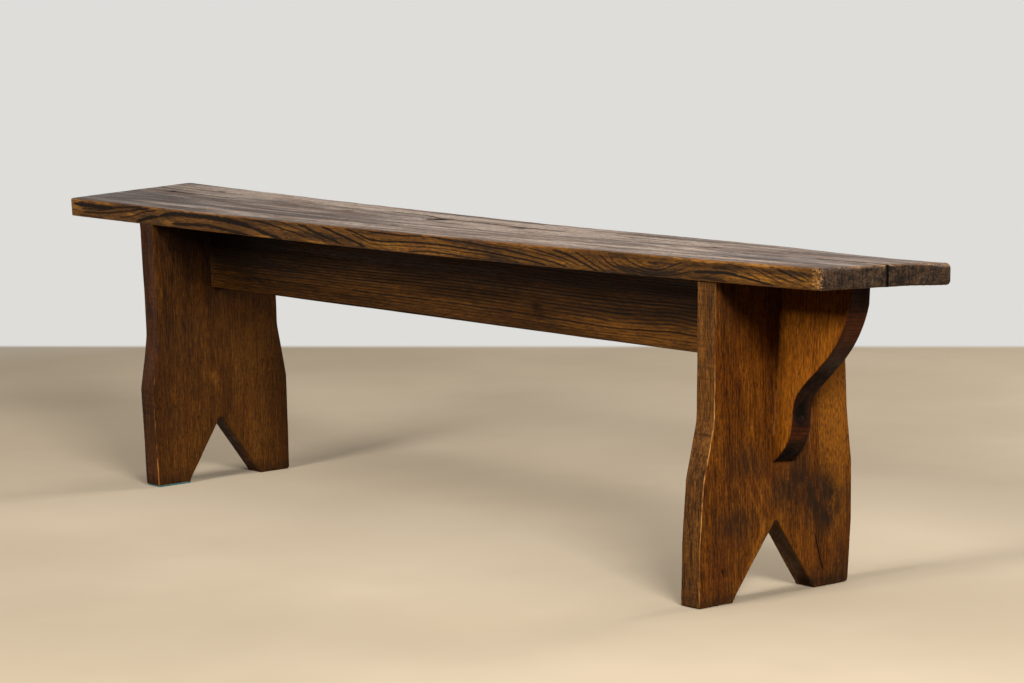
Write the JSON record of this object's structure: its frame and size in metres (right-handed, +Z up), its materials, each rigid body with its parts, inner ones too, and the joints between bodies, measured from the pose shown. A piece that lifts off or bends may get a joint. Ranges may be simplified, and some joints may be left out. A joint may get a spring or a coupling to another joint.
{
  "type": "plank bench",
  "caption": "Backless rustic plank bench with board legs notched at the foot, a deep stretcher on edge between them and ogee brackets under the seat's overhangs.",
  "frame": {"origin": "on the floor, under the middle of the space that the bench takes", "axes": "+X along the seat towards the end with the split, +Y to the back, +Z up"},
  "size_m": [1.74, 0.268, 0.4451],
  "materials": {
    "seat_wood": "worn waxed softwood",
    "leg_wood": "stained and waxed",
    "rail_wood": "stained and waxed",
    "bracket_wood": "stained and waxed",
    "screw_steel": "aged",
    "felt": "thin felt"
  },
  "bodies": {
    "root": {"seat_plank": "seat_wood", "left_leg": "leg_wood", "right_leg": "leg_wood", "stretcher": "rail_wood", "left_bracket": "bracket_wood", "right_bracket": "bracket_wood", "bracket_tail_screws": "screw_steel", "stretcher_screws": "screw_steel", "foot_pad": "felt"}
  },
  "joints": []
}
